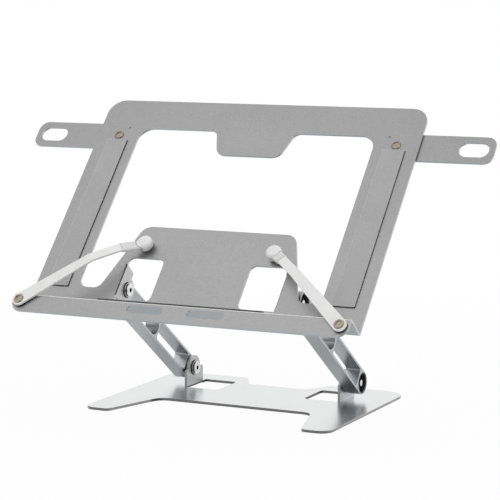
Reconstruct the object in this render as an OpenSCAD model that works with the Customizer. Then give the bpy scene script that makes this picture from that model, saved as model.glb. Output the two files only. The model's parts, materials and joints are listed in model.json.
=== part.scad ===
// Adjustable reading stand: a bent sheet-metal tray on two folding arms over a flat base,
// with two page clips on the ledge and two fold-out side wings behind the tray.
// Lengths are millimetres and angles are degrees. +Z is up, the reader sits on the -Y side.

/* [Tray] */
// Width of the tray panel
tray_w = 340; // [310:1:380]
// Height of the tray panel along its slope, above the ledge
tray_h = 250; // [240:1:290]
// Thickness of the tray and wing sheet
sheet_t = 2; // [1.5:0.1:2.4]
// Lean of the panel back from upright, as it stands
tray_lean = 42; // [30:1:60]
// Width of each side rail
rail_w = 45; // [40:1:52]
// Height of the bar across the top
top_bar_h = 34; // [24:1:44]
// Radius of the top outer corners
tray_corner_r = 17; // [6:1:24]
// Radius of the top corners of the large opening
opening_corner_r = 15; // [5:1:20]
// Height of the central tongue's top above the ledge
tongue_h = 99.3; // [85:0.1:120]
// Width across the top of the tongue
tongue_top_w = 157; // [130:1:175]
// Width across the foot of the tongue
tongue_foot_w = 205; // [196:1:214]
// Height of the pocket floor beside the tongue
pocket_floor_h = 27; // [20:1:34]

/* [Ledge] */
// Depth of the ledge from the panel's face to the lip's face
ledge_d = 24.6; // [20:0.2:32]
// Height of the lip that hangs from the ledge
lip_h = 19.8; // [18:0.1:26]
// Radius of the lip's lower corners
lip_corner_r = 11; // [3:0.5:14]
// Length of each slot in the lip
lip_slot_l = 36.5; // [20:0.5:44]
// Height of each slot in the lip
lip_slot_h = 7.5; // [4:0.5:9]
// Clear distance between the two slots
lip_slot_gap = 25; // [12:1:40]
// Length of the anti-slip strip on the ledge
strip_l = 168; // [120:1:180]
// Height of the anti-slip strip
strip_t = 1.8; // [1.6:0.1:4]
// Depth of the anti-slip strip
strip_d = 8; // [5:0.5:10]

/* [Rail pads] */
// Width of each rail pad
pad_w = 22.6; // [16:0.2:28]
// Distance from each rail pad's top end up to the wing pivot
pad_top_drop = 5.5; // [5:0.5:30]
// Thickness of each rail pad
pad_t = 1.2; // [0.8:0.1:1.4]

/* [Arms] */
// Distance between the two hinge axes of an arm
arm_len = 167; // [150:1:190]
// Slope of the arms above level, as they stand
arm_angle = 35.7; // [25:0.1:50]
// Height of the arm section
arm_h = 22; // [20:0.2:23]
// Width of the arms across the stand
arm_w = 15; // [14:0.5:20]
// Wall thickness of the arms
arm_wall = 2; // [1.6:0.1:2.4]
// Distance from the base hinge to the cross wall inside the arm
arm_cross_s = 82; // [60:1:100]

/* [Hinges] */
// Distance between the inner faces of the two hinge ears
ear_spacing = 164; // [158:1:170]
// Width of each ear's foot
ear_w = 35; // [33:1:38]
// Height of the base hinge axis above the base plate
base_axis_h = 16.6; // [15.6:0.1:20]
// Distance of the tray hinge axis behind the panel's face
tray_axis_d = 16; // [15:0.5:19]
// Height of the tray hinge axis above the ledge, along the panel
tray_axis_v = 37; // [35:1:41]
// Radius of the hinge screws' shanks
screw_r = 3; // [2.5:0.1:3.4]
// Radius of the screw heads
screw_head_r = 6.3; // [5.5:0.1:6.8]

/* [Base] */
// Width of the base plate
base_w = 255; // [240:1:290]
// Depth of the base plate from the foot tips to the back edge
base_d = 193; // [180:1:240]
// Thickness of the base plate
base_t = 2.5; // [2:0.1:4]
// Distance of the base hinge axis from the back edge
axis_setback = 50; // [44:1:60]
// Distance of the front cross edge behind the foot tips
foot_l = 68; // [50:1:74]
// Width of each foot at its tip
foot_tip_w = 27; // [20:1:32]
// Width of each foot where it meets the plate
foot_root_w = 47; // [38:1:50]
// Width of the rear notch at its floor
notch_w = 64; // [40:1:66]
// Depth of the rear notch
notch_d = 28; // [10:1:32]
// Thickness of the rubber pads under the base
foot_pad_t = 1; // [0.6:0.1:3]
// Radius of the rubber pads under the base
foot_pad_r = 8; // [5:0.5:9]

/* [Wings] */
// Reach of a wing from its pivot to its tip
wing_reach = 95.5; // [80:0.5:110]
// Width of a wing
wing_w = 30; // [26:0.5:32]
// Length of the finger hole in a wing
wing_hole_l = 29; // [20:0.5:34]
// Height of the finger hole in a wing
wing_hole_h = 16.5; // [10:0.5:18]
// Distance of the wing pivot from the tray's side edge
wing_pivot_in = 23; // [20:0.5:26]
// Distance of the wing pivot from the tray's top edge
wing_pivot_down = 43.5; // [42:0.5:48]

/* [Page clips] */
// Distance from the clip pivot to the centre of its round end
clip_reach = 126.5; // [120:0.5:136]
// Slope of the left clip above the ledge line
left_clip_angle = 42; // [30:0.5:60]
// Slope of the right clip above the ledge line
right_clip_angle = 41; // [30:0.5:60]
// Width of the strap around its pivot
strap_root_w = 13; // [12.4:0.1:15]
// Width of the strap at its first bend
strap_w = 9.2; // [8.8:0.1:12]
// Width of the strap where it enters the boot
strap_tip_w = 8.8; // [8:0.1:9.4]
// Thickness of the strap
strap_t = 2; // [1.6:0.1:2.6]
// Distance from the strap's first bend to the centre of the round end
strap_bend_back = 49.5; // [44:0.5:60]
// Distance from the strap's second bend to the centre of the round end
strap_tip_bend_back = 23.5; // [18:0.5:25]
// Slope towards the panel between the two bends
strap_slope = 17; // [14:0.5:19]
// Slope towards the panel beyond the second bend
strap_tip_slope = 31; // [28:0.5:33]
// Radius of the round end
cap_r = 7.6; // [7:0.1:9]
// Thickness of the round end
cap_t = 9; // [7:0.1:10]
// Distance of the clip pivot from the tray's side edge
clip_pivot_in = 8.2; // [8:0.1:12]
// Distance of the clip pivot below the ledge's top
clip_pivot_down = 9; // [8.8:0.1:11]

/* [Hidden] */

// Fineness of round surfaces, and steps in the arc of one rounded outline corner
round_fn = 64;
arc_steps = 8;

// Clearances: turning fit on a shank, fixed fit on a shank, and face-to-face running gap
turn_gap = 0.05;
fixed_gap = 0.02;
face_gap = 0.05;
// Overrun of cuts past the faces that they pass through
cut = 1;

// Sheet bends of the tray
bend_in_r = 1;
bend_out_r = bend_in_r + sheet_t;
opening_top_v = tray_h - top_bar_h;
opening_half_w = tray_w / 2 - rail_w;

// Rounded tab that hangs from the top bar
tab_root_half = 42;
tab_foot_half = 32.8;
tab_drop = 29;
tab_root_r = 8;
tab_foot_r = 11;

// Corner radii of the tongue and of the pockets beside it
tongue_r = 12;
pocket_inner_r = 9;
pocket_outer_r = 10;

// Windows that the ears are bent out of
window_w = 37.4;
base_window_r = 4;
tray_window_r = 6.5;
tray_window_below = 4;
tray_window_above = 8.9;
base_window_w = 35;
base_window_front = 1.5;
base_window_back = 8;

// Ears
ear_in = ear_spacing / 2;
ear_shift = 1.2;
ear_eye_r = 12.3;
ear_shoulder_r = 2;
ear_bend_r = 1.6;

// Hinge hardware, stacked outward along the axis from the screw's head
head_h = 2.1;
head_chamfer = 0.4;
socket_r = 2.4;
socket_d = 2;
washer_t = 0.9;
washer_r = 7;
head_disc_t = 0.5;
head_disc_r = 7.6;
arm_gap = 1.5;
disc_r = 9;
web_t = 3;
bush_t = 3.5;
bush_gap = 0.2;
nut_t = 5;
nut_r = 5.77;
shank_end = 2.2;
base_ear_out = ear_in + base_t;
tray_ear_out = ear_in + sheet_t;
arm_in = max(base_ear_out, tray_ear_out) + arm_gap;
arm_out = arm_in + arm_w;

// Arm section
arm_r = arm_h / 2;
hub_in_r = arm_r - arm_wall;
cell_corner_r = 2.5;
hub_wall_s = 12;
cross_wall_t = 1.8;

// Base outline
base_corner_r = 20;
foot_outer_r = 12;
foot_inner_r = 6;
foot_root_r = 13;
notch_floor_r = 5;
notch_mouth_r = 8;
notch_flare = 13.5;
foot_pad_inset = 15;

// Rivets of the wings and clips
rivet_r = 2.5;
rivet_head_r = 4.7;
rivet_head_t = 1.2;
rivet_cup_r = 3.2;
rivet_cup_d = 0.8;
rivet_tail_r = 4;
rivet_tail_t = 1;
wing_washer_t = 0.6;
wing_washer_r = 6;
clip_washer_t = 1.5;
clip_washer_r = 6;

// Wings
wing_tip_r = 9.5;
wing_hole_margin = 5.5;
detent_r = 1.2;
detent_d = 0.7;
detent_off = 9;

// Rail pads and ledge strip
pad_corner_r = 1.5;
pad_foot_drop = 1;
pad_foot_v = pocket_floor_h - pad_foot_drop;
pad_l = tray_h - wing_pivot_down - pad_top_drop - pad_foot_v;
pad_edge_in = 12.2;
strip_edge_r = 0.8;
strip_setback = 1;

// Page clips: side profile of the strap, from the pivot outwards
strap_bend_s = clip_reach - strap_bend_back;
strap_tip_bend_s = clip_reach - strap_tip_bend_back;
strap_bend_r = 9;
strap_end_in = 5;
cap_gap = pad_t + 0.5;
cap_edge_r = 3.6;
sleeve_w = 10.8;
sleeve_t = 3.9;
sleeve_r = 1.6;
sleeve_start = 2.5;
sleeve_end_in = 4.8;
sleeve_l = (strap_tip_bend_back - sleeve_start - sleeve_end_in) / cos(strap_tip_slope);

// Heights and places of the hinge axes and of the tray's fold
plate_top_z = foot_pad_t + base_t;
base_axis_z = plate_top_z + base_axis_h;
rise = arm_len * sin(arm_angle);
run = arm_len * cos(arm_angle);
fold_from_axis_y = -tray_axis_v * sin(tray_lean) - tray_axis_d * cos(tray_lean);
fold_from_axis_z = -tray_axis_v * cos(tray_lean) + tray_axis_d * sin(tray_lean);
// Furthest forward points of the lip and of the strap ends, from the fold
strap_front_d = ledge_d + clip_washer_t + strap_t;
lip_front = ledge_d * cos(tray_lean) + lip_h * sin(tray_lean);
strap_foot_h = clip_pivot_down + strap_root_w / 2;
strap_front = strap_front_d * cos(tray_lean) + strap_foot_h * sin(tray_lean);
front_from_axis = -run + fold_from_axis_y - max(lip_front, strap_front);
// The origin lies on the ground under the middle of the whole stand
base_axis_y = -(front_from_axis + axis_setback) / 2;
base_back_y = base_axis_y + axis_setback;
base_front_y = base_back_y - base_d;
tray_axis_y = base_axis_y - run;
tray_axis_z = base_axis_z + rise;
fold_y = tray_axis_y + fold_from_axis_y;
fold_z = tray_axis_z + fold_from_axis_z;

// Colours, as the stand looks
c_tray = [0.62, 0.63, 0.63];
c_pad = [0.56, 0.57, 0.58];
c_strip = [0.3, 0.3, 0.31];
c_arm = [0.58, 0.6, 0.61];
c_base = [0.86, 0.87, 0.88];
c_steel = [0.8, 0.81, 0.82];
c_black = [0.06, 0.06, 0.065];
c_brass = [0.66, 0.6, 0.48];
c_white = [0.93, 0.93, 0.92];

// Points of one outline corner [x, y, r] between its neighbours, as an arc of radius r
function unit(v) = v / norm(v);
function xy(p) = [p[0], p[1]];
function arc_corner(p0, p1, p2) =
    let (
        a = unit(xy(p0) - xy(p1)),
        b = unit(xy(p2) - xy(p1)),
        half = acos(max(-1, min(1, a * b))) / 2,
        r = p1[2],
        centre = xy(p1) + unit(a + b) * r / sin(half),
        start = xy(p1) + a * r / tan(half),
        end = xy(p1) + b * r / tan(half),
        from = atan2(start[1] - centre[1], start[0] - centre[0]),
        sweep = atan2(end[1] - centre[1], end[0] - centre[0]) - from,
        turn = sweep > 180 ? sweep - 360 : sweep < -180 ? sweep + 360 : sweep
    )
    [
        for (i = [0 : arc_steps])
            let (a_i = from + turn * i / arc_steps)
            centre + r * [cos(a_i), sin(a_i)]
    ];

// Outline through corners [x, y, r]; a corner with r of zero stays sharp
function rounded(corners) =
    let (n = len(corners))
    [
        for (i = [0 : n - 1])
            each corners[i][2] == 0
                ? [xy(corners[i])]
                : arc_corner(corners[(i + n - 1) % n], corners[i], corners[(i + 1) % n])
    ];

// A half outline and its mirror image about x = 0, joined into one loop
function both_sides(half) =
    let (n = len(half))
    concat(half, [for (i = [0 : n - 1]) let (p = half[n - 1 - i]) [-p[0], p[1], p[2]]]);

function box_outline(w, h, r) = [
    [-w / 2, -h / 2, r], [w / 2, -h / 2, r], [w / 2, h / 2, r], [-w / 2, h / 2, r]
];

// Slot with fully round ends, made of true circles
module slot_2d(l, h) {
    square([l - h, h], center = true);
    for (s = [-1, 1]) translate([s * (l - h) / 2, 0]) circle(d = h, $fn = round_fn);
}

// Copies a right-hand part to the named side
module on_side(side) {
    if (side == "left") mirror([1, 0, 0]) children();
    else children();
}

// Turns +Z of a part to +X and puts it on a hinge axis
module on_axis(y, z) translate([0, y, z]) rotate([0, 90, 0]) children();

// Tray frame: x across, y behind the panel's face, z up along the panel from the fold
module in_tray() translate([0, fold_y, fold_z]) rotate([-tray_lean, 0, 0]) children();

// Turns a flat outline (x, z) so that its thickness runs from y0 back to y1
module upright(y0, y1) {
    translate([0, y1, 0]) rotate([90, 0, 0]) linear_extrude(y1 - y0) children();
}

// Arm frame: x along the arm from the base hinge, y to its upper side, z towards -X
module in_arm() {
    translate([0, base_axis_y, base_axis_z]) rotate([90 - arm_angle, 0, 0]) rotate([0, -90, 0]) children();
}

// Ear outline: a foot from below y = 0, shifted along x, and a round eye about the hinge axis
module ear_outline(axis_h, foot, shift) {
    polygon(rounded([
        [shift - ear_w / 2, -foot, 0], [shift + ear_w / 2, -foot, 0],
        [shift + ear_w / 2, axis_h, ear_shoulder_r], [shift - ear_w / 2, axis_h, ear_shoulder_r]
    ]));
    translate([0, axis_h]) circle(r = ear_eye_r, $fn = round_fn);
}

module base_outline() {
    tip_in = base_w / 2 - foot_tip_w;
    root_in = base_w / 2 - foot_root_w;
    cross_y = base_front_y + foot_l;
    half = [
        [notch_w / 2, base_back_y - notch_d, notch_floor_r],
        [notch_w / 2 + notch_flare, base_back_y, notch_mouth_r],
        [base_w / 2, base_back_y, base_corner_r],
        [base_w / 2, base_front_y, foot_outer_r],
        [tip_in, base_front_y, foot_inner_r],
        [root_in, cross_y, foot_root_r]
    ];
    polygon(rounded(both_sides(half)));
}

// Window that a base ear is bent out of
module base_window() {
    y0 = base_axis_y - ear_w / 2 - base_window_front;
    y1 = base_axis_y + ear_w / 2 + base_window_back;
    polygon(rounded([
        [ear_in - base_window_w, y0, base_window_r], [ear_in, y0, 0],
        [ear_in, y1, 0], [ear_in - base_window_w, y1, base_window_r]
    ]));
}

// What a bend of outer radius r leaves outside its sheet, in the corner at the origin
module bend_waste(r, l) {
    translate([0, 0, -l / 2]) linear_extrude(l) difference() {
        translate([-cut, -cut]) square(r + cut);
        translate([r, r]) circle(r = r, $fn = round_fn);
    }
}

module base_plate() {
    color(c_base) difference() {
        union() {
            translate([0, 0, foot_pad_t]) linear_extrude(base_t) difference() {
                base_outline();
                base_window();
                mirror([1, 0]) base_window();
            }
            for (side = ["left", "right"]) on_side(side)
                translate([ear_in, base_axis_y, plate_top_z]) rotate([90, 0, 90])
                    linear_extrude(base_t) ear_outline(base_axis_h, base_t, ear_shift);
        }
        on_axis(base_axis_y, base_axis_z) translate([0, 0, -base_w / 2])
            cylinder(h = base_w, r = screw_r + turn_gap, $fn = round_fn);
        for (side = ["left", "right"]) on_side(side)
            translate([ear_in, base_axis_y + ear_shift, foot_pad_t]) rotate([90, 0, 0])
                bend_waste(ear_bend_r, ear_w);
    }
}

module foot_pad(x_sign, y) {
    color(c_black) translate([x_sign * (base_w / 2 - foot_pad_inset), y, 0])
        cylinder(h = foot_pad_t, r = foot_pad_r, $fn = round_fn);
}

// Arm outline with its two cells, which stop short of the hubs; these are bored from the outside
module arm_section() {
    inner_half = arm_r - arm_wall;
    cell_start = arm_cross_s + cross_wall_t + inner_half;
    cell_end = arm_len - hub_wall_s;
    difference() {
        union() {
            translate([0, -arm_r]) square([arm_len, arm_h]);
            for (s = [0, arm_len]) translate([s, 0]) circle(r = arm_r, $fn = round_fn);
        }
        polygon(rounded([
            [hub_wall_s, -inner_half, cell_corner_r], [arm_cross_s, -inner_half, cell_corner_r],
            [arm_cross_s, inner_half, cell_corner_r], [hub_wall_s, inner_half, cell_corner_r]
        ]));
        polygon(rounded([
            [cell_start, -inner_half, 0], [cell_end, -inner_half, cell_corner_r],
            [cell_end, inner_half, cell_corner_r], [cell_start, inner_half, 0]
        ]));
        translate([cell_start, 0]) circle(r = inner_half, $fn = round_fn);
    }
}

module arm(side) {
    color(c_arm) on_side(side) in_arm() difference() {
        translate([0, 0, -arm_out]) linear_extrude(arm_w) arm_section();
        for (s = [0, arm_len]) translate([s, 0, -arm_out]) {
            translate([0, 0, -cut]) cylinder(h = arm_w - web_t + cut, r = hub_in_r, $fn = round_fn);
            translate([0, 0, -cut]) cylinder(h = arm_w + 2 * cut, r = screw_r + fixed_gap, $fn = round_fn);
        }
    }
}

head_disc_out = ear_in - face_gap;
head_disc_in = head_disc_out - head_disc_t;
washer_in = head_disc_in - washer_t;
bush_in = arm_in + web_t;
nut_in = bush_in + bush_t;
nut_out = nut_in + nut_t;

// Puts a part of the base or tray hinge, drawn outward along +Z, on the axis at the named side
module in_hinge(side, place) {
    on_side(side) {
        if (place == "base") on_axis(base_axis_y, base_axis_z) children();
        else on_axis(tray_axis_y, tray_axis_z) children();
    }
}

// Ring of outer radius r about the hinge axis, from x0 out to x1
module ring(x0, x1, r, sides = round_fn) {
    translate([0, 0, x0]) difference() {
        cylinder(h = x1 - x0, r = r, $fn = sides);
        translate([0, 0, -cut]) cylinder(h = x1 - x0 + 2 * cut, r = screw_r + fixed_gap, $fn = round_fn);
    }
}

// Socket-head screw, from its low flat head inboard of the ear to its end past the nut
module hinge_screw(side, place) {
    color(c_steel) in_hinge(side, place) translate([0, 0, washer_in]) {
        difference() {
            mirror([0, 0, 1]) rotate_extrude($fn = round_fn) polygon([
                [0, 0], [screw_head_r, 0], [screw_head_r, head_h - head_chamfer],
                [screw_head_r - head_chamfer, head_h], [0, head_h]
            ]);
            translate([0, 0, -head_h - cut]) cylinder(h = socket_d + cut, r = socket_r, $fn = 6);
        }
        cylinder(h = nut_out + shank_end - washer_in, r = screw_r, $fn = round_fn);
    }
}

module hinge_washer(side, place) {
    color(c_steel) in_hinge(side, place) ring(washer_in, head_disc_in, washer_r);
}

module hinge_head_disc(side, place) {
    color(c_black) in_hinge(side, place) ring(head_disc_in, head_disc_out, head_disc_r);
}

module hinge_friction_disc(side, place) {
    ear_out = place == "base" ? base_ear_out : tray_ear_out;
    color(c_black) in_hinge(side, place) ring(ear_out + face_gap, arm_in, disc_r);
}

module hinge_hub_bush(side, place) {
    color(c_black) in_hinge(side, place) ring(bush_in, nut_in, hub_in_r - bush_gap);
}

module hinge_nut(side, place) {
    color(c_steel) in_hinge(side, place) ring(nut_in, nut_out, nut_r, 6);
}

// Side section of the whole tray sheet, x forward of the panel's face and y up along it
module tray_section() {
    polygon(rounded([
        [0, tray_h, 0], [-sheet_t, tray_h, 0],
        [-sheet_t, -sheet_t, bend_out_r], [ledge_d - sheet_t, -sheet_t, bend_in_r],
        [ledge_d - sheet_t, -lip_h, 0], [ledge_d, -lip_h, 0],
        [ledge_d, 0, bend_out_r], [0, 0, bend_in_r]
    ]));
}

// Large opening with the top bar's tab and the tongue left standing in it
module tray_opening() {
    polygon(rounded(both_sides([
        [tongue_top_w / 2, tongue_h, tongue_r],
        [tongue_foot_w / 2, pocket_floor_h, pocket_inner_r],
        [opening_half_w, pocket_floor_h, pocket_outer_r],
        [opening_half_w, opening_top_v, opening_corner_r],
        [tab_root_half, opening_top_v, tab_root_r],
        [tab_foot_half, opening_top_v - tab_drop, tab_foot_r]
    ])));
}

// Window in the tongue that a tray ear is bent out of
module tray_window() {
    v0 = tray_axis_v - ear_w / 2 - tray_window_below;
    v1 = tray_axis_v + ear_w / 2 + tray_window_above;
    polygon(rounded([
        [ear_in - window_w, v0, tray_window_r], [ear_in, v0, 0],
        [ear_in, v1, tray_window_r], [ear_in - window_w, v1, tray_window_r]
    ]));
}

// What the rounded outline leaves outside at the panel's top corner
module top_corner_waste() {
    difference() {
        translate([tray_w / 2 - tray_corner_r, tray_h - tray_corner_r]) square(tray_corner_r + cut);
        translate([tray_w / 2 - tray_corner_r, tray_h - tray_corner_r])
            circle(r = tray_corner_r, $fn = round_fn);
    }
}

// What the rounded outline leaves outside at the lip's lower corner
module lip_corner_waste() {
    difference() {
        translate([tray_w / 2 - lip_corner_r, -lip_h - cut]) square(lip_corner_r + cut);
        translate([tray_w / 2 - lip_corner_r, lip_corner_r - lip_h])
            circle(r = lip_corner_r, $fn = round_fn);
    }
}

module tray_ear() {
    translate([ear_in, 0, tray_axis_v]) rotate([90, 0, 90]) rotate([0, 0, -90])
        linear_extrude(sheet_t) ear_outline(tray_axis_d, 0, -ear_shift);
}

wing_pivot_x = tray_w / 2 - wing_pivot_in;
wing_pivot_v = tray_h - wing_pivot_down;
clip_pivot_x = tray_w / 2 - clip_pivot_in;
clip_pivot_v = -clip_pivot_down;
lip_slot_v = -(lip_h - bend_out_r) / 2;

module tray_panel() {
    color(c_tray) in_tray() difference() {
        union() {
            translate([-tray_w / 2, 0, 0]) rotate([90, 0, 90]) mirror([1, 0, 0])
                linear_extrude(tray_w) tray_section();
            for (side = ["left", "right"]) on_side(side) tray_ear();
        }
        upright(-cut, sheet_t + cut) {
            tray_opening();
            for (s = [0, 1]) mirror([s, 0]) {
                tray_window();
                top_corner_waste();
                translate([wing_pivot_x, wing_pivot_v]) circle(r = rivet_r + fixed_gap, $fn = round_fn);
            }
        }
        upright(-ledge_d - cut, -ledge_d + sheet_t + cut) {
            for (s = [0, 1]) mirror([s, 0]) {
                lip_corner_waste();
                translate([(lip_slot_gap + lip_slot_l) / 2, lip_slot_v]) slot_2d(lip_slot_l, lip_slot_h);
                translate([clip_pivot_x, clip_pivot_v]) circle(r = rivet_r + fixed_gap, $fn = round_fn);
            }
        }
        upright(-cut, detent_d) for (s = [0, 1]) mirror([s, 0])
            translate([wing_pivot_x - detent_off, wing_pivot_v + detent_off])
                circle(r = detent_r, $fn = round_fn);
        translate([-tray_w / 2, tray_axis_d, tray_axis_v]) rotate([0, 90, 0])
            cylinder(h = tray_w, r = screw_r + turn_gap, $fn = round_fn);
        for (side = ["left", "right"]) on_side(side)
            translate([ear_in, 0, tray_axis_v + ear_shift]) bend_waste(ear_bend_r, ear_w);
    }
}

module rail_pad(side) {
    color(c_pad) on_side(side) in_tray() upright(-pad_t, 0)
        translate([tray_w / 2 - pad_edge_in - pad_w / 2, pad_foot_v + pad_l / 2])
            polygon(rounded(box_outline(pad_w, pad_l, pad_corner_r)));
}

// Anti-slip strip lying on the ledge just behind its front fold
module ledge_strip() {
    d1 = ledge_d - bend_out_r + strip_setback;
    color(c_strip) in_tray() translate([-strip_l / 2, 0, 0]) rotate([90, 0, 90]) mirror([1, 0, 0])
        linear_extrude(strip_l) polygon(rounded([
            [d1 - strip_d, 0, 0], [d1, 0, 0],
            [d1, strip_t, strip_edge_r], [d1 - strip_d, strip_t, strip_edge_r]
        ]));
}

wing_front_d = sheet_t + wing_washer_t;
wing_back_d = wing_front_d + sheet_t;

module wing_outline() {
    difference() {
        union() {
            circle(d = wing_w, $fn = round_fn);
            polygon(rounded([
                [0, -wing_w / 2, 0], [wing_reach, -wing_w / 2, wing_tip_r],
                [wing_reach, wing_w / 2, wing_tip_r], [0, wing_w / 2, 0]
            ]));
        }
        translate([wing_reach - wing_hole_margin - wing_hole_l / 2, 0]) slot_2d(wing_hole_l, wing_hole_h);
        circle(r = rivet_r + turn_gap, $fn = round_fn);
    }
}

module wing(side) {
    color(c_tray) on_side(side) in_tray() upright(wing_front_d, wing_back_d)
        translate([wing_pivot_x, wing_pivot_v]) wing_outline();
}

module wing_washer(side) {
    color(c_black) on_side(side) in_tray() upright(sheet_t, wing_front_d - face_gap)
        translate([wing_pivot_x, wing_pivot_v]) difference() {
            circle(r = wing_washer_r, $fn = round_fn);
            circle(r = rivet_r + fixed_gap, $fn = round_fn);
        }
}

// Tubular rivet: cupped head towards -Z, shank of the given grip, then a flat tail
module rivet(grip) {
    difference() {
        rotate_extrude($fn = round_fn) polygon([
            [0, -rivet_head_t], [rivet_head_r - rivet_head_t / 2, -rivet_head_t],
            [rivet_head_r, -rivet_head_t / 2],
            [rivet_head_r, 0], [rivet_r, 0], [rivet_r, grip], [rivet_tail_r, grip],
            [rivet_tail_r, grip + rivet_tail_t], [0, grip + rivet_tail_t]
        ]);
        translate([0, 0, -rivet_head_t - cut])
            cylinder(h = rivet_cup_d + cut, r = rivet_cup_r, $fn = round_fn);
    }
}

module wing_rivet(side) {
    color(c_brass) on_side(side) in_tray() translate([wing_pivot_x, 0, wing_pivot_v])
        rotate([-90, 0, 0]) rivet(wing_back_d + face_gap);
}

strap_mid_d = ledge_d + clip_washer_t + strap_t / 2;
strap_low_d = strap_mid_d - (strap_tip_bend_s - strap_bend_s) * tan(strap_slope);
strap_end_s = clip_reach - strap_end_in;
function tip_d(s) = strap_low_d - (s - strap_tip_bend_s) * tan(strap_tip_slope);

// Clip frame: x along the clip from its pivot, y to its side, z forward of the panel's face
module in_clip(side) {
    angle = side == "left" ? left_clip_angle : right_clip_angle;
    on_side(side) in_tray() translate([clip_pivot_x, 0, clip_pivot_v])
        rotate([90, 0, 0]) rotate([0, 0, 180 - angle]) children();
}

// Half thickness of the strap across a bend between two slopes, to its front face
function strap_side(a, b) =
    let (mid = (a + b) / 2)
    [sin(mid), cos(mid)] * strap_t / 2 / cos((b - a) / 2);

function with_r(p, r) = [p[0], p[1], r];

module strap_body() {
    start = [-strap_root_w, strap_mid_d];
    bend = [strap_bend_s, strap_mid_d];
    tip_bend = [strap_tip_bend_s, strap_low_d];
    end = [strap_end_s, tip_d(strap_end_s)];
    at_start = strap_side(0, 0);
    at_bend = strap_side(0, strap_slope);
    at_tip_bend = strap_side(strap_slope, strap_tip_slope);
    at_end = strap_side(strap_tip_slope, strap_tip_slope);
    intersection() {
        translate([0, strap_root_w, 0]) rotate([90, 0, 0]) linear_extrude(2 * strap_root_w) polygon(rounded([
            with_r(start - at_start, 0), with_r(bend - at_bend, strap_bend_r),
            with_r(tip_bend - at_tip_bend, strap_bend_r), with_r(end - at_end, 0),
            with_r(end + at_end, 0), with_r(tip_bend + at_tip_bend, strap_bend_r),
            with_r(bend + at_bend, strap_bend_r), with_r(start + at_start, 0)
        ]));
        linear_extrude(strap_front_d + cut) {
            circle(d = strap_root_w, $fn = round_fn);
            polygon([
                [0, -strap_root_w / 2], [strap_bend_s, -strap_w / 2], [strap_tip_bend_s, -strap_tip_w / 2],
                [clip_reach, -strap_tip_w / 2], [clip_reach, strap_tip_w / 2],
                [strap_tip_bend_s, strap_tip_w / 2], [strap_bend_s, strap_w / 2], [0, strap_root_w / 2]
            ]);
        }
    }
}

module clip_strap(side) {
    color(c_white) in_clip(side) difference() {
        strap_body();
        cylinder(h = strap_front_d + cut, r = rivet_r + turn_gap, $fn = round_fn);
    }
}

// Soft boot over the strap's end: a sleeve that runs into a thick round end
module clip_boot(side) {
    sleeve_s = strap_tip_bend_s + sleeve_start;
    color(c_white) in_clip(side) difference() {
        union() {
            translate([sleeve_s, 0, tip_d(sleeve_s)]) rotate([0, strap_tip_slope, 0]) rotate([90, 0, 90])
                linear_extrude(sleeve_l) polygon(rounded(box_outline(sleeve_w, sleeve_t, sleeve_r)));
            translate([clip_reach, 0, cap_gap]) rotate_extrude($fn = round_fn) polygon(rounded([
                [0, 0, 0], [cap_r, 0, cap_edge_r], [cap_r, cap_t, cap_edge_r], [0, cap_t, 0]
            ]));
        }
        strap_body();
    }
}

module clip_washer(side) {
    color(c_black) in_clip(side) translate([0, 0, ledge_d]) difference() {
        cylinder(h = clip_washer_t - face_gap, r = clip_washer_r, $fn = round_fn);
        translate([0, 0, -cut])
            cylinder(h = clip_washer_t + 2 * cut, r = rivet_r + fixed_gap, $fn = round_fn);
    }
}

module clip_rivet(side) {
    color(c_brass) in_clip(side) translate([0, 0, strap_front_d + face_gap])
        rotate([180, 0, 0]) rivet(strap_front_d + face_gap - ledge_d + sheet_t);
}

base_plate();
foot_pad(-1, base_front_y + foot_pad_inset);  // front_left_foot_pad
foot_pad(1, base_front_y + foot_pad_inset);  // front_right_foot_pad
foot_pad(-1, base_back_y - foot_pad_inset);  // rear_left_foot_pad
foot_pad(1, base_back_y - foot_pad_inset);  // rear_right_foot_pad
arm("left");  // left_arm
arm("right");  // right_arm
hinge_screw("left", "base");  // left_base_screw
hinge_screw("right", "base");  // right_base_screw
hinge_screw("left", "tray");  // left_tray_screw
hinge_screw("right", "tray");  // right_tray_screw
hinge_washer("left", "base");  // left_base_washer
hinge_washer("right", "base");  // right_base_washer
hinge_washer("left", "tray");  // left_tray_washer
hinge_washer("right", "tray");  // right_tray_washer
hinge_head_disc("left", "base");  // left_base_head_disc
hinge_head_disc("right", "base");  // right_base_head_disc
hinge_head_disc("left", "tray");  // left_tray_head_disc
hinge_head_disc("right", "tray");  // right_tray_head_disc
hinge_friction_disc("left", "base");  // left_base_friction_disc
hinge_friction_disc("right", "base");  // right_base_friction_disc
hinge_friction_disc("left", "tray");  // left_tray_friction_disc
hinge_friction_disc("right", "tray");  // right_tray_friction_disc
hinge_hub_bush("left", "base");  // left_base_hub_bush
hinge_hub_bush("right", "base");  // right_base_hub_bush
hinge_hub_bush("left", "tray");  // left_tray_hub_bush
hinge_hub_bush("right", "tray");  // right_tray_hub_bush
hinge_nut("left", "base");  // left_base_nut
hinge_nut("right", "base");  // right_base_nut
hinge_nut("left", "tray");  // left_tray_nut
hinge_nut("right", "tray");  // right_tray_nut
tray_panel();
ledge_strip();
rail_pad("left");  // left_rail_pad
rail_pad("right");  // right_rail_pad
wing("left");  // left_wing
wing("right");  // right_wing
wing_rivet("left");  // left_wing_rivet
wing_rivet("right");  // right_wing_rivet
wing_washer("left");  // left_wing_washer
wing_washer("right");  // right_wing_washer
clip_strap("left");  // left_clip_strap
clip_strap("right");  // right_clip_strap
clip_boot("left");  // left_clip_boot
clip_boot("right");  // right_clip_boot
clip_rivet("left");  // left_clip_rivet
clip_rivet("right");  // right_clip_rivet
clip_washer("left");  // left_clip_washer
clip_washer("right");  // right_clip_washer
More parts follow.
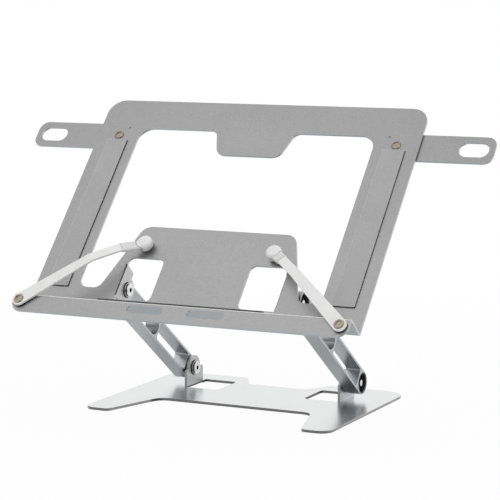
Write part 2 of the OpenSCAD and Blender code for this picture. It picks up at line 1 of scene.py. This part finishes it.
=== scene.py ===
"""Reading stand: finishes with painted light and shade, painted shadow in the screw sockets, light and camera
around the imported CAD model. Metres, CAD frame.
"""
import bpy
import json
import math
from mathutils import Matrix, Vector

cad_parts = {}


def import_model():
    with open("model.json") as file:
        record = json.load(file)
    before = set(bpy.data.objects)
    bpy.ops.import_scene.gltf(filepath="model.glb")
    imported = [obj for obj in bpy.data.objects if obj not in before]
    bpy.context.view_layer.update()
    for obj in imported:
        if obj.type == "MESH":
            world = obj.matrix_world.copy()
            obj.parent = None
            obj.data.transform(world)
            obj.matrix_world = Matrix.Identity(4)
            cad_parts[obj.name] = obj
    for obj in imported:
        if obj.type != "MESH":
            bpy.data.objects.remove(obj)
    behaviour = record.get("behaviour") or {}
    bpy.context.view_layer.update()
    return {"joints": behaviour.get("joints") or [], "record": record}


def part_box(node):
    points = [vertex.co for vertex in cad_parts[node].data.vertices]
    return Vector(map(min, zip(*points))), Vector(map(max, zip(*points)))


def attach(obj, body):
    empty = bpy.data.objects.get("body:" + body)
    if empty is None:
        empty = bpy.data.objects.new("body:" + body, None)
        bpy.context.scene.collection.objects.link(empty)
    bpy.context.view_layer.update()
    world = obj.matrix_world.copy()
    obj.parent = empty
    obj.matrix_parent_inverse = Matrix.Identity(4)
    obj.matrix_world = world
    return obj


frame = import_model()

MM = 0.001

# What the frame gives: each node's slot, the joints, and the directions that they set
SLOT_OF = {part["node"]: part["material_slot"] for part in frame["record"]["subparts"]}
JOINTS = {joint["name"]: joint for joint in frame["joints"]}
HINGE_AXES = [JOINTS[name]["pos_m"] for name in ("arm_lift", "tray_tilt")]
# The left page clip swings about a line square to the tray panel, and the ledge stands on that panel
PANEL_NORMAL = JOINTS["left_clip_swing"]["axis"]
LEDGE_NORMAL = (0, PANEL_NORMAL[2], -PANEL_NORMAL[1])
RIGHT, LEFT, FRONT, UP = (1, 0, 0), (-1, 0, 0), (0, -1, 0), (0, 0, 1)

# Top of the base plate above the table, and how far its ears' outer faces are from the middle
PLATE_TOP = 3.5 * MM
EAR_OUT = 84.5 * MM
# Outer radius of the moulded rim around the bores in the arms' hubs
HUB_RIM_R = 10.2 * MM
# Half sizes of a page clip's round end along x, y and z
BALL_HALF = Vector((7.6, 6.94, 7.17)) * MM
# Groove between that end and its sleeve, drawn as a painted shade line: radius, half width, and where it begins
# on the pivot's side
GROOVE_R, GROOVE_HALF = 7.3 * MM, 0.5 * MM
GROOVE_START = (4.5 * MM, 5.5 * MM)

# Painted shadow cup inside a hinge screw's hexagon socket: corner radii and depths below the head's face
HEX = 6
SHADE_CUP_OUT, SHADE_CUP_IN = 2.34 * MM, 2.2 * MM
SHADE_CUP_LIP, SHADE_CUP_FLOOR, SHADE_CUP_FOOT = 0.04 * MM, 1.8 * MM, 1.95 * MM

# The bands that most and nearly all of a noise texture's values fall in, and the band that shows as wear
NOISE_MID = (0.3, 0.7)
NOISE_WIDE = (0.2, 0.8)
WEAR_BAND = (0.42, 0.7)
# How well the rounded normal agrees with the true one, where an edge's mask begins and where it is full
EDGE_FADE = (0.995, 0.86)
BEVEL_SAMPLES = 6
# How squarely a surface faces a direction, where a mask begins and where it is full
SQUARE_ON = (0.8, 0.95)
EAR_FOLD = (0.2, 0.45)
FRONT_FOLD = (0.2, 0.5)
UPRIGHT = (0.8, 0.5)
TO_FRONT = (0.3, 0.7)
TO_SIDE = (0.4, 0.7)
HUB_FACE = (0.7, 0.9)
HEAD_SIDE = (0.4, 0.15)
PAD_FACE = (0.5, 0.8)
PAD_SIDE = (0.3, 0.6)
PAD_LEFT_GLINT = (0.05, 0.3)
# Widths over which one colour fades into another, painted shade included, at the plate's top, the ears' feet
# and the hubs' rims
TOP_BLEND = 0.2 * MM
EAR_BLEND = 0.5 * MM
WINDOW_BLEND = 1 * MM
RIM_BLEND = 0.1 * MM

# Camera fitted to the photograph's edges: a long lens a little to the right and just above the stand
CAM_AZIMUTH = math.radians(25.914)
CAM_ELEVATION = math.radians(7.606)
CAM_PLACE = (0.83899, -1.69078, 0.40510)
SENSOR = 36.0
FOCAL_SHARE = 4.0296

# White floor: its grey for the shadow, its glow to camera and to metal, and where both turn white
FLOOR_SIZE = 8
FLOOR_COLOUR = 0.7
FLOOR_GLOW = 0.96
FLOOR_SHEEN = 0.6
FLOOR_FADE = (0.35, 0.9)

# Studio levels by direction: from front to back, to the right, and overhead
BACK_LEVEL, FRONT_LEVEL, TOP_LEVEL = 1.0, 0.4, 0.85
FRONT_TO_BACK = (-0.35, 0.35)
RIGHT_GAIN, RIGHT_FADE = 1.1, (0.3, 1.0)
TOP_FADE = (0.25, 0.7)
# Metal sees the white backdrop only where it stands: on the far side, and low
BACKDROP_FAR, BACKDROP_LOW = (0.3, 0.6), (0.3, 0.1)

# Area lamps: place and watts
LAMPS = {
    "key": ((-0.7, -0.8, 1.7), 4),
    "side": ((1.5, -0.5, 0.8), 3),
    "back": ((0.4, 1.5, 1.1), 3),
}
LAMP_SIZE = 1.2
LAMP_TARGET = Vector((0, 0, 0.12))


class Graph:
    """Short calls for building one shader tree."""

    def __init__(self, tree):
        self.tree = tree

    def node(self, kind, **props):
        made = self.tree.nodes.new(kind)
        for key, value in props.items():
            setattr(made, key, value)
        return made

    def put(self, socket, value):
        """Links value if it is a socket, and sets it as a constant otherwise."""
        if isinstance(value, bpy.types.NodeSocket):
            self.tree.links.new(value, socket)
        else:
            socket.default_value = value

    def math(self, operation, a, b=0.0):
        n = self.node("ShaderNodeMath", operation=operation)
        self.put(n.inputs[0], a)
        self.put(n.inputs[1], b)
        return n.outputs[0]

    def both(self, a, b):
        return self.math("MULTIPLY", a, b)

    def spread(self, value, low, high, to_low=0.0, to_high=1.0):
        """Maps value from low..high to to_low..to_high, clamped."""
        n = self.node("ShaderNodeMapRange", clamp=True)
        for socket, v in zip(n.inputs, (value, low, high, to_low, to_high)):
            self.put(socket, v)
        return n.outputs[0]

    def vector(self, operation, a, b, output="Vector"):
        n = self.node("ShaderNodeVectorMath", operation=operation)
        self.put(n.inputs[0], a)
        self.put(n.inputs[1], b)
        return n.outputs[output]

    def dot(self, a, b):
        return self.vector("DOT_PRODUCT", a, b, "Value")

    def length(self, a):
        n = self.node("ShaderNodeVectorMath", operation="LENGTH")
        self.put(n.inputs[0], a)
        return n.outputs["Value"]

    def place(self):
        """The point in the piece's own space."""
        return self.node("ShaderNodeTexCoord").outputs["Object"]

    def facing(self, direction):
        """How far the piece's own surface faces along direction, from -1 to 1."""
        return self.dot(self.node("ShaderNodeTexCoord").outputs["Normal"], direction)

    def aligned(self, direction):
        """How far the surface faces along direction or against it, from 0 to 1."""
        return self.math("ABSOLUTE", self.facing(direction))

    def mix(self, factor, a, b, blend="MIX"):
        n = self.node("ShaderNodeMix", data_type="RGBA", blend_type=blend)
        self.put(n.inputs["Factor"], factor)
        colours = [s for s in n.inputs if s.type == "RGBA"]
        self.put(colours[0], a)
        self.put(colours[1], b)
        return next(s for s in n.outputs if s.type == "RGBA")

    def times(self, colour, gain):
        """A colour multiplied by a grey value or by another colour."""
        return self.mix(1.0, colour, gain, "MULTIPLY")

    def noise(self, size, detail=2.0, roughness=0.5):
        """Noise whose features are about size metres across, in the piece's own space."""
        n = self.node("ShaderNodeTexNoise")
        self.put(n.inputs["Vector"], self.place())
        n.inputs["Scale"].default_value = 1 / size
        n.inputs["Detail"].default_value = detail
        n.inputs["Roughness"].default_value = roughness
        return n.outputs["Fac"]

    def bump(self, height, distance, strength, normal):
        n = self.node("ShaderNodeBump")
        n.inputs["Strength"].default_value = strength
        n.inputs["Distance"].default_value = distance
        self.put(n.inputs["Height"], height)
        self.put(n.inputs["Normal"], normal)
        return n.outputs[0]

    def rounded(self, radius):
        """The normal as if edges were rounded to radius."""
        n = self.node("ShaderNodeBevel", samples=BEVEL_SAMPLES)
        n.inputs["Radius"].default_value = radius
        return n.outputs[0]

    def edge(self, radius):
        """Normal rounded over edges within radius, and a mask that is 1 on sharp edges."""
        soft = self.rounded(radius)
        true = self.node("ShaderNodeNewGeometry").outputs["Normal"]
        return soft, self.spread(self.dot(soft, true), *EDGE_FADE)


def rgb(value, warm=0.0):
    """Neutral grey of one linear value, or a tint of it."""
    return (value * (1 + warm), value, value * (1 - warm), 1.0)


def edge_highlight_tint(colour, gain, highlight_lift=0.0):
    """The painted highlight colour of edges: colour times gain plus a lift, up to white."""
    return tuple(min(1.0, c * gain + highlight_lift) for c in colour[:3]) + (1.0,)


def principled_of(g):
    return next(n for n in g.tree.nodes if n.type == "BSDF_PRINCIPLED")


def shader(name):
    """A new material, its graph and its principled shader."""
    material = bpy.data.materials.new(name)
    material.use_nodes = True
    g = Graph(material.node_tree)
    return material, g, principled_of(g)


def reopen(material):
    """The graph of a finished material, its principled shader and the socket that colours it."""
    g = Graph(material.node_tree)
    p = principled_of(g)
    return g, p, p.inputs["Base Color"].links[0].from_socket


def blasted_metal(name, colour, worn, rough, speckle, coat=0.0):
    """Bead-blasted, anodised aluminium: fine grain, faint clouding, and edges brightened by wear together with
    a painted highlight.
    """
    material, g, p = shader(name)
    normal, edges = g.edge(radius=0.5 * MM)
    fine = g.noise(size=0.4 * MM, detail=3.0, roughness=0.7)
    grain = g.noise(size=1.4 * MM, detail=3.0, roughness=0.75)
    clouds = g.noise(size=45 * MM)
    tone = g.math("ADD", g.spread(grain, *NOISE_MID, 1 - speckle, 1 + speckle),
                  g.spread(clouds, *NOISE_MID, -0.02, 0.02))
    # Sharp edges take the worn colour: wear together with a painted highlight.
    g.put(p.inputs["Base Color"], g.mix(edges, g.times(colour, tone), worn))
    p.inputs["Metallic"].default_value = 1.0
    g.put(p.inputs["Roughness"], g.spread(fine, *NOISE_WIDE, rough - 0.03, rough + 0.05))
    p.inputs["Coat Weight"].default_value = coat
    p.inputs["Coat Roughness"].default_value = 0.25
    g.put(p.inputs["Normal"], g.bump(fine, distance=0.03 * MM, strength=0.35, normal=normal))
    return material


def turned_metal(name, colour, worn, rough):
    """Turned and plated hardware: fine turning marks broken up by wear, and a painted highlight on sharp edges.
    """
    material, g, p = shader(name)
    normal, edges = g.edge(radius=0.3 * MM)
    marks = g.noise(size=0.25 * MM)
    wear = g.noise(size=2.2 * MM, detail=4.0, roughness=0.6)
    body = g.mix(g.spread(wear, *WEAR_BAND), colour, worn)
    # Sharp edges get a painted highlight.
    g.put(p.inputs["Base Color"], g.mix(edges, body, edge_highlight_tint(colour, gain=1.5, highlight_lift=0.1)))
    p.inputs["Metallic"].default_value = 1.0
    g.put(p.inputs["Roughness"], g.spread(wear, *NOISE_MID, rough, rough + 0.12))
    g.put(p.inputs["Normal"], g.bump(marks, distance=0.02 * MM, strength=0.4, normal=normal))
    return material


def moulded(name, colour, rough, clouding=0.05, highlight_lift=0.12, specular=0.5):
    """Moulded plastic or rubber: eggshell grain, faint clouding, and a painted highlight that makes edges a
    little lighter.
    """
    material, g, p = shader(name)
    normal, edges = g.edge(radius=0.4 * MM)
    fine = g.noise(size=0.5 * MM, detail=3.0, roughness=0.6)
    clouds = g.noise(size=14 * MM, detail=4.0)
    tone = g.math("ADD", g.spread(clouds, *NOISE_MID, 1 - clouding, 1 + clouding),
                  g.spread(fine, *NOISE_MID, -0.03, 0.03))
    # Sharp edges get a painted highlight.
    g.put(p.inputs["Base Color"], g.mix(edges, g.times(colour, tone), edge_highlight_tint(colour, 1 + highlight_lift)))
    g.put(p.inputs["Roughness"], g.spread(fine, *NOISE_WIDE, rough - 0.05, rough + 0.08))
    p.inputs["Specular IOR Level"].default_value = specular
    g.put(p.inputs["Normal"], g.bump(fine, distance=0.03 * MM, strength=0.5, normal=normal))
    return material


def pad_sheet(name, colour, side_shade, left_highlight, rough):
    """Die-cut silicone sheet: fine woven grain on its face, painted shade on its cut sides, and a painted
    highlight on its left side and along the face's left edge.
    """
    material, g, p = shader(name)
    normal, _ = g.edge(radius=0.3 * MM)
    fine = g.noise(size=0.45 * MM, detail=3.0, roughness=0.7)
    grain = g.noise(size=1.3 * MM, detail=3.0, roughness=0.75)
    clouds = g.noise(size=30 * MM)
    tone = g.math("ADD", g.spread(grain, *NOISE_MID, 0.9, 1.1), g.spread(clouds, *NOISE_MID, -0.03, 0.03))
    # Painted highlight along the face's left edge and on the left side; the other cut sides get painted shade.
    left_edge_glint = g.spread(g.dot(g.rounded(radius=0.9 * MM), LEFT), *PAD_LEFT_GLINT)
    face = g.mix(left_edge_glint, g.times(colour, tone), left_highlight)
    side = g.mix(g.spread(g.facing(LEFT), *PAD_SIDE), side_shade, left_highlight)
    is_face = g.spread(g.facing(PANEL_NORMAL), *PAD_FACE)
    g.put(p.inputs["Base Color"], g.mix(is_face, side, face))
    g.put(p.inputs["Roughness"], g.spread(fine, *NOISE_WIDE, rough - 0.05, rough + 0.05))
    g.put(p.inputs["Normal"], g.bump(fine, distance=0.04 * MM, strength=0.5, normal=normal))
    return material


def paint_fold_light(material, dark, light, ear_painted_gain, under_painted_light):
    """Painted shade on the outside of the ears' folds, a painted highlight on the front fold, and painted light
    that makes the ears and the ledge's underside paler.
    """
    g, p, flat = reopen(material)
    to_face, to_top, to_side = g.facing(PANEL_NORMAL), g.facing(LEDGE_NORMAL), g.aligned(RIGHT)
    ear = g.mix(g.spread(to_side, *SQUARE_ON), flat, g.times(flat, ear_painted_gain))
    under = g.spread(g.math("MULTIPLY", to_top, -1), *SQUARE_ON)
    body = g.mix(under, ear, g.times(flat, under_painted_light))
    ear_fold_shade = g.both(g.spread(to_side, *EAR_FOLD), g.spread(to_face, *EAR_FOLD))
    front_fold_glint = g.both(g.spread(to_top, *FRONT_FOLD), g.spread(to_face, *FRONT_FOLD))
    g.put(p.inputs["Base Color"], g.mix(front_fold_glint, g.mix(ear_fold_shade, body, dark), light))


def shade_base(material, dark, front, grey, ear_painted_gain, ear_rough):
    """Painted shade on the base plate's cut sides, darkest in its windows, and ears painted darker and made
    rougher than the polished plate.
    """
    g, p, flat = reopen(material)
    plate_rough = p.inputs["Roughness"].links[0].from_socket
    split = g.node("ShaderNodeSeparateXYZ")
    g.put(split.inputs[0], g.place())
    x, _, z = split.outputs
    below_top = g.spread(z, PLATE_TOP + TOP_BLEND, PLATE_TOP)
    cut = g.both(g.spread(g.aligned(UP), *UPRIGHT), below_top)
    between_ears = g.spread(g.math("ABSOLUTE", x), EAR_OUT, EAR_OUT - WINDOW_BLEND)
    in_window = g.both(g.spread(g.aligned(RIGHT), *TO_SIDE), between_ears)
    to_front = g.spread(g.facing(FRONT), *TO_FRONT)
    # Painted shade on the cut sides: darkest in the windows, darker where they face the front.
    side = g.mix(in_window, g.mix(to_front, grey, front), dark)
    on_ear = g.spread(z, PLATE_TOP, PLATE_TOP + EAR_BLEND)
    body = g.mix(on_ear, flat, g.times(flat, ear_painted_gain))
    g.put(p.inputs["Base Color"], g.mix(cut, body, side))
    g.put(p.inputs["Roughness"], g.math("ADD", plate_rough, g.both(on_ear, ear_rough)))


def cap_hubs(material, dark):
    """Black moulded rim around the bores in the arms' outer faces."""
    g, p, colour = reopen(material)
    outward = g.spread(g.aligned(RIGHT), *HUB_FACE)
    for axis in HINGE_AXES:
        across = g.vector("MULTIPLY", g.vector("SUBTRACT", g.place(), axis), (0, 1, 1))
        within = g.spread(g.length(across), HUB_RIM_R + RIM_BLEND, HUB_RIM_R)
        colour = g.mix(g.both(outward, within), colour, dark)
    g.put(p.inputs["Base Color"], colour)


def shade_head_side(material, dark):
    """Darkens the rim of a screw's head."""
    g, p, flat = reopen(material)
    g.put(p.inputs["Base Color"], g.mix(g.spread(g.aligned(RIGHT), *HEAD_SIDE), flat, dark))


def clip_ball(hand):
    """Centre of the round end of a page clip, and the direction from it to the clip's pivot."""
    low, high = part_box(hand + "_clip_boot")
    x = high.x - BALL_HALF.x if hand == "left" else low.x + BALL_HALF.x
    ball = Vector((x, high.y - BALL_HALF.y, high.z - BALL_HALF.z))
    pivot = Vector(JOINTS[hand + "_clip_swing"]["pos_m"])
    return ball, (pivot - ball).normalized()


def mark_boot(material, ball, to_pivot, groove_shade, sleeve_colour):
    """Tints a boot's sleeve and paints a shade line in the groove where it meets the round end at ball."""
    g, p, flat = reopen(material)
    away = g.vector("SUBTRACT", g.place(), ball)
    distance = g.length(g.vector("CROSS_PRODUCT", away, PANEL_NORMAL))
    on_sleeve = g.spread(distance, GROOVE_R, GROOVE_R + GROOVE_HALF)
    from_groove = g.math("ABSOLUTE", g.math("SUBTRACT", distance, GROOVE_R))
    pivot_side = g.spread(g.dot(away, to_pivot), *GROOVE_START)
    in_groove = g.both(pivot_side, g.spread(from_groove, GROOVE_HALF, GROOVE_HALF / 3))
    g.put(p.inputs["Base Color"], g.mix(in_groove, g.mix(on_sleeve, flat, sleeve_colour), groove_shade))


MATERIALS = {
    # On the blasted metals, worn colours the sharp edges: wear together with a painted highlight.
    "tray_metal": blasted_metal("tray_metal", rgb(0.345), worn=rgb(0.50), rough=0.44, speckle=0.1),
    "arm_metal": blasted_metal("arm_metal", rgb(0.49, -0.02), worn=rgb(0.85), rough=0.3, speckle=0.04),
    "base_metal": blasted_metal("base_metal", rgb(0.72, -0.01), worn=rgb(0.93), rough=0.24,
                                speckle=0.03, coat=0.6),
    "hardware_steel": turned_metal("hardware_steel", rgb(0.70), worn=rgb(0.5), rough=0.2),
    "black_steel": turned_metal("black_steel", rgb(0.02), worn=rgb(0.05), rough=0.35),
    "hinge_nylon": moulded("hinge_nylon", rgb(0.006), rough=0.5, highlight_lift=0.5, specular=0.25),
    "rail_silicone": pad_sheet("rail_silicone", rgb(0.45), rgb(0.03), left_highlight=rgb(0.6), rough=0.6),
    # Near black: partly the strip's own dark rubber, partly painted shade of the narrow gap along the ledge's
    # fold.
    "strip_rubber": moulded("strip_rubber", rgb(0.035), rough=0.6),
    "clip_white": moulded("clip_white", rgb(0.90, 0.004), rough=0.42, clouding=0.03, highlight_lift=0.08),
    "rivet_brass": turned_metal("rivet_brass", (0.36, 0.32, 0.25, 1.0),
                                worn=(0.22, 0.19, 0.14, 1.0), rough=0.34),
    "foot_rubber": moulded("foot_rubber", rgb(0.02), rough=0.6),
}
# Near-black finish of the socket cups: painted shadow.
SOCKET_SHADE = moulded("socket_shade", rgb(0.01), rough=0.6, specular=0.2)
SCREW_STEEL = turned_metal("screw_steel", rgb(0.82), worn=rgb(0.62), rough=0.16)
# Painted shade for the boot's groove, and the tint of its sleeve.
GROOVE_SHADE, SLEEVE_WHITE = rgb(0.2), rgb(0.76)


def finish_details():
    """Adds to the plain finishes what changes over a piece, painted light and shade among it."""
    paint_fold_light(MATERIALS["tray_metal"], dark=rgb(0.08), light=rgb(0.95),
               ear_painted_gain=rgb(1.7), under_painted_light=rgb(1.45, -0.05))
    shade_base(MATERIALS["base_metal"], dark=rgb(0.05), front=rgb(0.17), grey=rgb(0.3),
               ear_painted_gain=rgb(0.72), ear_rough=0.2)
    cap_hubs(MATERIALS["arm_metal"], dark=rgb(0.02))
    shade_head_side(SCREW_STEEL, dark=rgb(0.16))


def boot_finish(hand):
    """The clip's white with the seam and sleeve of one hand's boot."""
    finish = MATERIALS["clip_white"].copy()
    finish.name = "clip_white_" + hand
    mark_boot(finish, *clip_ball(hand), GROOVE_SHADE, SLEEVE_WHITE)
    return finish


def dress_cad():
    """Gives every CAD node the finish of its material slot, with special ones for screws and boots."""
    for node in SLOT_OF:
        piece = bpy.data.objects.get(node)
        if piece is None:
            raise RuntimeError("no object for " + node)
        if node.endswith("_clip_boot"):
            finish = boot_finish(node.split("_")[0])
        elif node.endswith("_screw"):
            finish = SCREW_STEEL
        else:
            finish = MATERIALS[SLOT_OF[node]]
        for slot in piece.material_slots:
            slot.material = finish


def socket_shade_cup(screw):
    """Painted shadow inside a screw's hexagon socket: a thin black cup just inside its walls."""
    low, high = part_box(screw)
    inward = 1 if low[0] < 0 else -1
    face = high[0] if low[0] < 0 else low[0]
    y, z = (low[1] + high[1]) / 2, (low[2] + high[2]) / 2
    rings = ((SHADE_CUP_OUT, SHADE_CUP_FOOT), (SHADE_CUP_OUT, SHADE_CUP_LIP), (SHADE_CUP_IN, SHADE_CUP_LIP), (SHADE_CUP_IN, SHADE_CUP_FLOOR))
    points = []
    for radius, depth in rings:
        for k in range(HEX):
            angle = 2 * math.pi * k / HEX
            points.append((face - inward * depth, y + radius * math.sin(angle), z + radius * math.cos(angle)))
    walls = [[r * HEX + k, r * HEX + (k + 1) % HEX, (r + 1) * HEX + (k + 1) % HEX, (r + 1) * HEX + k]
             for r in range(len(rings) - 1) for k in range(HEX)]
    foot, cup_floor = list(range(HEX)), list(range((len(rings) - 1) * HEX, len(rings) * HEX))
    mesh = bpy.data.meshes.new(screw + "_socket")
    mesh.from_pydata(points, [], walls + [foot, cup_floor])
    mesh.materials.append(SOCKET_SHADE)
    shade_cup = bpy.data.objects.new(screw + "_socket", mesh)
    bpy.context.scene.collection.objects.link(shade_cup)
    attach(shade_cup, "arms")


def ray_is(g, *kinds):
    """1 for rays of any of the named kinds."""
    path = g.node("ShaderNodeLightPath")
    total = path.outputs[kinds[0]]
    for kind in kinds[1:]:
        total = g.math("MAXIMUM", total, path.outputs[kind])
    return total


def mix_shaders(g, factor, first, second):
    n = g.node("ShaderNodeMixShader")
    for socket, value in zip(n.inputs, (factor, first.outputs[0], second.outputs[0])):
        g.put(socket, value)
    return n.outputs[0]


def floor():
    """Plain white floor: grey enough near the stand to hold its shadow, white further out."""
    bpy.ops.mesh.primitive_plane_add(size=FLOOR_SIZE, location=(0, 0, 0))
    plane = bpy.context.object
    plane.name = "floor"
    material = bpy.data.materials.new("floor_white")
    material.use_nodes = True
    g = Graph(material.node_tree)
    g.tree.nodes.clear()
    matt = g.node("ShaderNodeBsdfDiffuse")
    matt.inputs["Color"].default_value = rgb(FLOOR_COLOUR)
    glow = g.node("ShaderNodeEmission")
    glow.inputs["Color"].default_value = rgb(1.0)
    far = g.spread(g.length(g.place()), *FLOOR_FADE)
    to_camera = g.both(ray_is(g, "Is Camera Ray"), g.spread(far, 0.0, 1.0, FLOOR_GLOW, 1.0))
    to_metal = g.both(ray_is(g, "Is Glossy Ray", "Is Transmission Ray"),
                      g.spread(far, 0.0, 1.0, FLOOR_SHEEN, 1.0))
    lit = mix_shaders(g, g.math("MAXIMUM", to_camera, to_metal), matt, glow)
    g.put(g.node("ShaderNodeOutputMaterial").inputs["Surface"], lit)
    plane.data.materials.append(material)


def world():
    """Studio: white backdrop low behind the stand, softer light overhead, dim towards the camera."""
    scene_world = bpy.data.worlds.new("studio")
    bpy.context.scene.world = scene_world
    scene_world.use_nodes = True
    g = Graph(scene_world.node_tree)
    g.tree.nodes.clear()
    split = g.node("ShaderNodeSeparateXYZ")
    g.put(split.inputs[0], g.node("ShaderNodeTexCoord").outputs["Generated"])
    x, y, z = split.outputs
    low = g.both(g.spread(y, *FRONT_TO_BACK, FRONT_LEVEL, BACK_LEVEL),
                 g.spread(x, *RIGHT_FADE, 1.0, RIGHT_GAIN))
    studio = g.node("ShaderNodeBackground")
    g.put(studio.inputs["Color"], g.mix(g.spread(z, *TOP_FADE), low, rgb(TOP_LEVEL)))
    white = g.node("ShaderNodeBackground")
    white.inputs["Color"].default_value = rgb(1.0)
    behind = g.both(g.spread(y, *BACKDROP_FAR), g.spread(z, *BACKDROP_LOW))
    to_metal = g.both(ray_is(g, "Is Glossy Ray", "Is Transmission Ray"), behind)
    lit = mix_shaders(g, g.math("MAXIMUM", ray_is(g, "Is Camera Ray"), to_metal), studio, white)
    g.put(g.node("ShaderNodeOutputWorld").inputs["Surface"], lit)


def area_light(name, place, watts):
    lamp = bpy.data.lights.new(name, "AREA")
    lamp.size = LAMP_SIZE
    lamp.energy = watts
    holder = bpy.data.objects.new(name, lamp)
    bpy.context.scene.collection.objects.link(holder)
    holder.location = place
    holder.rotation_euler = (LAMP_TARGET - Vector(place)).to_track_quat("-Z", "Y").to_euler()


def camera():
    data = bpy.data.cameras.new("camera")
    data.sensor_width = SENSOR
    data.lens = SENSOR * FOCAL_SHARE
    holder = bpy.data.objects.new("camera", data)
    bpy.context.scene.collection.objects.link(holder)
    holder.location = CAM_PLACE
    holder.rotation_euler = (math.pi / 2 - CAM_ELEVATION, 0, CAM_AZIMUTH)
    bpy.context.scene.camera = holder


finish_details()
dress_cad()
for hinge in ("base", "tray"):
    for hand in ("left", "right"):
        socket_shade_cup(hand + "_" + hinge + "_screw")
floor()
world()
for name, (place, watts) in LAMPS.items():
    area_light(name, place, watts)
camera()
bpy.context.scene.view_settings.view_transform = "Standard"
